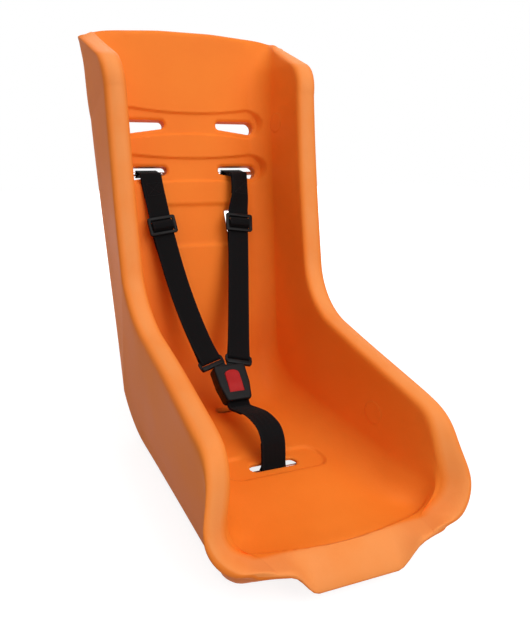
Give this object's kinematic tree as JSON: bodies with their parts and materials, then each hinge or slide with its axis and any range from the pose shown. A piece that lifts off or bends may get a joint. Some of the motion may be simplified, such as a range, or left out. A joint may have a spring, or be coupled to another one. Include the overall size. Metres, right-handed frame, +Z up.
{
  "type": "cargo bike child seat",
  "caption": "Moulded bucket seat for a small child in a cargo bike, with wings, armrests and a shoulder and crotch harness closed by a press-button buckle.",
  "frame": {"origin": "middle of the overall box in plan, at the height of the surface that the seat stands on", "axes": "+X to the right as seen facing the seat, -Y the front where the child's legs go, +Z up"},
  "size_m": [0.3, 0.4656, 0.5358],
  "materials": {
    "moulded_shell": "matte rotation-moulded polyethylene",
    "webbing": "woven polyester",
    "black_moulding": "satin",
    "red_moulding": "satin gloss",
    "metal": "plated"
  },
  "bodies": {
    "seat": {"shell": "moulded_shell", "left_shoulder_strap": "webbing", "right_shoulder_strap": "webbing", "left_anchor_rod": "metal", "right_anchor_rod": "metal", "left_slider": "black_moulding", "right_slider": "black_moulding", "left_tongue": "metal", "right_tongue": "metal", "buckle_front_cover": "black_moulding", "buckle_rear_cover": "black_moulding", "latch_spring": "metal", "strap_pin": "metal", "crotch_strap": "webbing", "crotch_anchor_rod": "metal"},
    "button": {"release_button": "red_moulding", "latch_plate": "metal"}
  },
  "joints": [
    {"name": "button_press", "type": "slide", "parent": "seat", "child": "button", "axis": [0, 0.6691, -0.7431], "range_m": [0, 0.0024], "stiffness_N_per_m": 900, "springref_m": -0.0025, "deforming": ["latch_spring"]}
  ]
}
